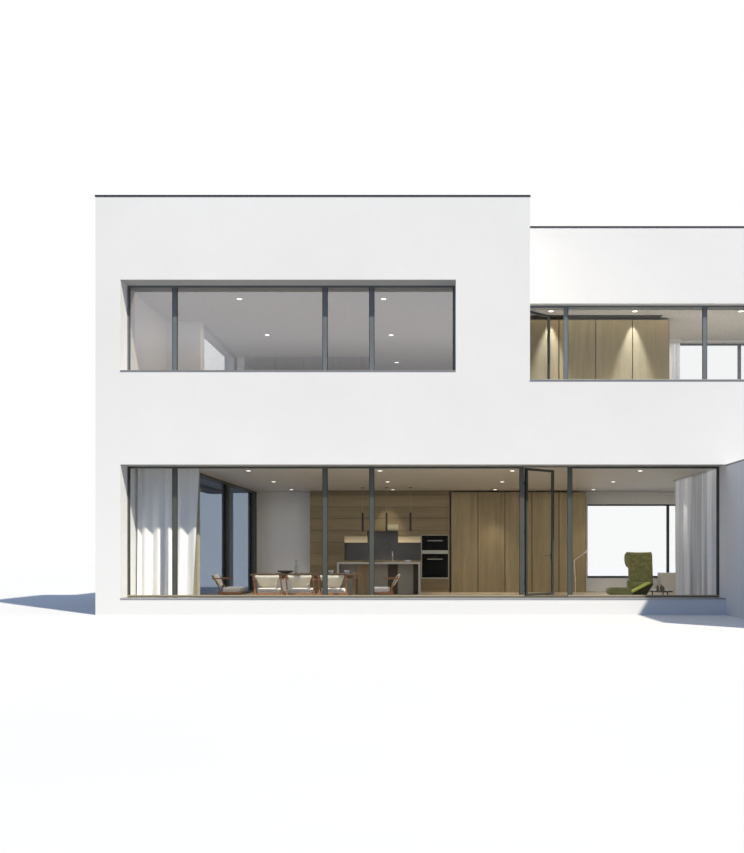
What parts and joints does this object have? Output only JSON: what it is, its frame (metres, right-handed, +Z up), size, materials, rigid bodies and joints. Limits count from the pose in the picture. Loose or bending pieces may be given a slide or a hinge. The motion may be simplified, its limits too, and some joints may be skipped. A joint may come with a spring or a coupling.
{
  "type": "detached house",
  "caption": "Flat-roofed white rendered house with long window rows, a set-back upper storey, balcony, wing wall and a hinged glazed garden door.",
  "frame": {"origin": "middle of the house's base, under the centre of its bounding box, at ground level", "axes": "+X along the garden front to the right as seen from the garden, +Y into the house, +Z up"},
  "size_m": [14.79, 13.67, 7.77],
  "materials": {
    "render": "matte white render",
    "concrete": "matte",
    "membrane": "matte",
    "coping_metal": "matte",
    "sill_metal": "satin",
    "frame_metal": "matte",
    "glazing": "clear",
    "panel_wood": "satin",
    "shelf_wood": "satin",
    "dark_tile": "satin",
    "oven_metal": "satin",
    "worktop": "satin",
    "table_wood": "satin",
    "chair_wood": "satin",
    "pad_fabric": "woven",
    "lounge_fabric": "woven",
    "sideboard_paint": "matte",
    "lamp_black": "matte",
    "lamp_white": "satin",
    "curtain_fabric": "woven"
  },
  "bodies": {
    "root": {"ground_slab": "concrete", "first_floor_slab": "concrete", "roof_slab": "membrane", "front_beam": "render", "front_right_wall": "render", "front_upstand": "render", "left_front_wall": "render", "left_upper_wall": "render", "upper_front_wall": "render", "balcony_parapet": "render", "terrace_parapet": "render", "set_back_wall": "render", "balcony_side_wall": "render", "right_wall": "render", "right_upper_wall": "render", "main_rear_wall": "render", "main_side_rear_wall": "render", "side_terrace_walls": "render", "side_rear_wall": "render", "side_upper_rear_wall": "render", "wing_wall": "render", "roof_coping": "coping_metal", "parapet_coping": "coping_metal", "window_sills": "sill_metal", "ground_frames": "frame_metal", "door_frame": "frame_metal", "ground_glass": "glazing", "upper_frames": "frame_metal", "upper_glass": "glazing", "upper_leaf": "frame_metal", "rear_frames": "frame_metal", "rear_glass": "glazing", "gallery_frames": "frame_metal", "gallery_glass": "glazing", "kitchen_wall": "panel_wood", "splashback": "dark_tile", "shelf_boxes": "shelf_wood", "ovens": "oven_metal", "tall_cupboards": "panel_wood", "island_top": "worktop", "island_cabinet": "panel_wood", "dining_table": "table_wood", "dining_chairs": "chair_wood", "chair_pads": "pad_fabric", "pendant_lamps": "lamp_black", "lounge_chair": "lounge_fabric", "footstool": "lounge_fabric", "floor_lamp": "lamp_white", "side_table": "lamp_black", "sideboard": "sideboard_paint", "wardrobe": "panel_wood", "upper_cupboards": "panel_wood", "curtain_rails": "lamp_white", "left_curtain": "curtain_fabric", "right_curtain": "curtain_fabric", "upper_curtain": "curtain_fabric"},
    "door": {"door_leaf": "frame_metal", "door_glass": "glazing"}
  },
  "joints": [
    {"name": "garden_door_hinge", "type": "hinge", "parent": "root", "child": "door", "pos_m": [0.586, -2.328, 0], "axis": [0, 0, 1], "range_deg": [-43, 47]}
  ]
}
